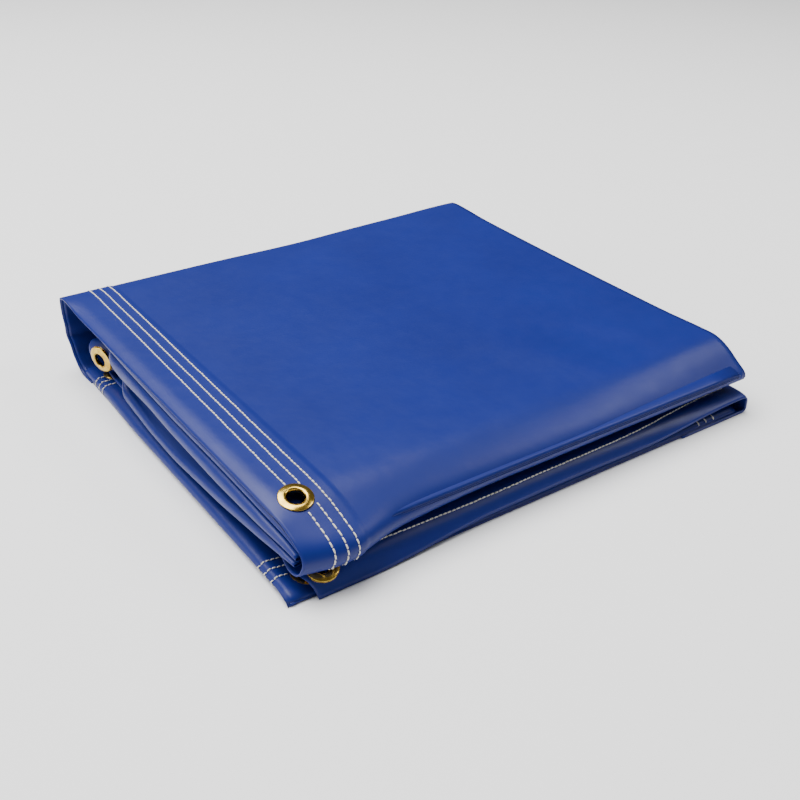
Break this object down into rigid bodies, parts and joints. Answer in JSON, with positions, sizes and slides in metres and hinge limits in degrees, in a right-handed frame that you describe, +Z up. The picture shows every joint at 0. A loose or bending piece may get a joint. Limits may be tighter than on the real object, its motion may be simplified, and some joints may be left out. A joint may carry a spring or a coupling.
{
  "type": "folded welding curtain",
  "caption": "Vinyl welding curtain folded into a flat storage bundle, with stitched hems and brass grommets; the upper half opens about the back fold.",
  "frame": {"origin": "middle of the bundle's footprint, on the surface it lies on", "axes": "+X along the front edge, from the left folds to the right folds; +Y towards the back fold; +Z up"},
  "size_m": [0.48, 0.45, 0.0793],
  "materials": {
    "vinyl": "satin flexible vinyl sheet",
    "thread": "twisted off-white sewing thread",
    "brass": "polished"
  },
  "bodies": {
    "lower_half": {"base_panel": "vinyl", "base_left_fold": "vinyl", "base_cover": "vinyl", "tucked_strip": "vinyl", "lower_filler": "vinyl", "waist_panel": "vinyl", "waist_end": "vinyl", "waist_hem": "vinyl", "lower_right_fold": "vinyl", "inner_flap": "vinyl", "back_fold_lower": "vinyl", "waist_stitch_1": "thread", "waist_stitch_2": "thread", "waist_stitch_3": "thread", "base_stitch_1": "thread", "base_stitch_2": "thread", "base_stitch_3": "thread", "tucked_stitch_1": "thread", "tucked_stitch_2": "thread", "tucked_stitch_3": "thread", "waist_grommet": "brass", "waist_washer": "brass", "flap_grommet": "brass", "flap_washer": "brass", "base_grommet": "brass", "base_washer": "brass", "back_grommet": "brass", "back_washer": "brass"},
    "upper_half": {"top_panel": "vinyl", "top_hem": "vinyl", "under_panel": "vinyl", "front_roll": "vinyl", "back_fold_upper": "vinyl", "pleat_1": "vinyl", "pleat_2": "vinyl", "pleat_3": "vinyl", "upper_right_fold_1": "vinyl", "upper_right_fold_2": "vinyl", "upper_right_fold_3": "vinyl", "upper_right_fold_4": "vinyl", "top_stitch_1": "thread", "top_stitch_2": "thread", "top_stitch_3": "thread", "top_grommet": "brass", "top_washer": "brass"}
  },
  "joints": [
    {"name": "fold_open", "type": "hinge", "parent": "lower_half", "child": "upper_half", "pos_m": [0, 0.225, 0.0405], "axis": [-1, 0, 0], "range_deg": [0, 180]}
  ]
}
